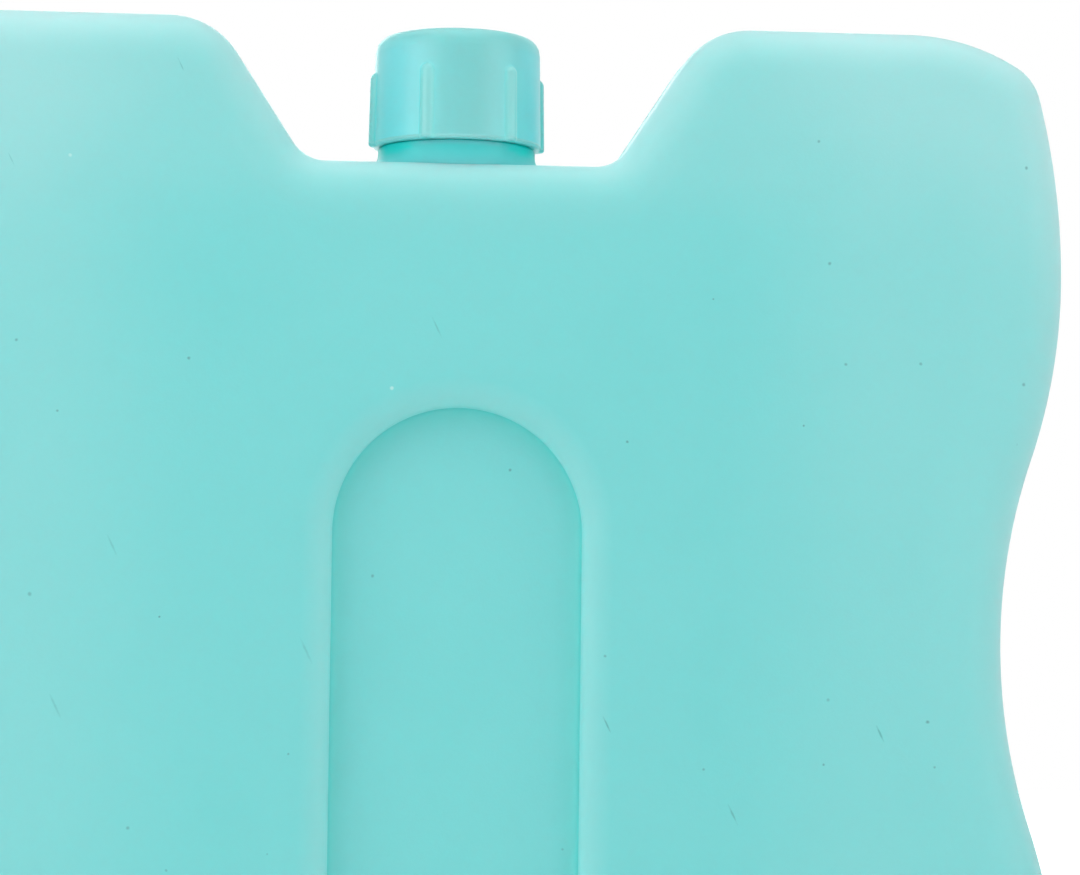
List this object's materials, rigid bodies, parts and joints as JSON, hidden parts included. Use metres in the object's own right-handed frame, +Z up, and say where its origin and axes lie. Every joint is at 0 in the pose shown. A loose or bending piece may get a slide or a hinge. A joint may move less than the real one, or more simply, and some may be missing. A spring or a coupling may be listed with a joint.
{
  "type": "reusable ice pack",
  "caption": "Hard blow-moulded ice pack with a waist, a sunk panel in each face and a ribbed screw cap in a notch at the top.",
  "frame": {"origin": "middle of the foot under the bottom edge, on the surface that the pack stands on", "axes": "+Z up to the cap, +X along the width to the right seen from the front, -Y out of the front face"},
  "size_m": [0.181, 0.036, 0.1831],
  "materials": {
    "bottle": "satin moulded polyethylene",
    "coolant": "clear gel",
    "liner": "foamed sheet",
    "cap": "satin moulded polypropylene"
  },
  "bodies": {
    "bottle": {"bottle": "bottle", "coolant": "coolant"},
    "liner": {"liner": "liner"},
    "cap": {"cap": "cap"}
  },
  "joints": [
    {"name": "cap_lift", "type": "slide", "parent": "bottle", "child": "liner", "axis": [0, 0, 1], "range_m": [0, 0.0141]},
    {"name": "cap_turn", "type": "hinge", "parent": "liner", "child": "cap", "pos_m": [0, 0, 0.1659], "axis": [0, 0, 1], "range_deg": [0, 1260]}
  ],
  "couplings": [
    {"joint": "cap_lift", "follows": "cap_turn", "m_per_rad": 0.00063662}
  ]
}
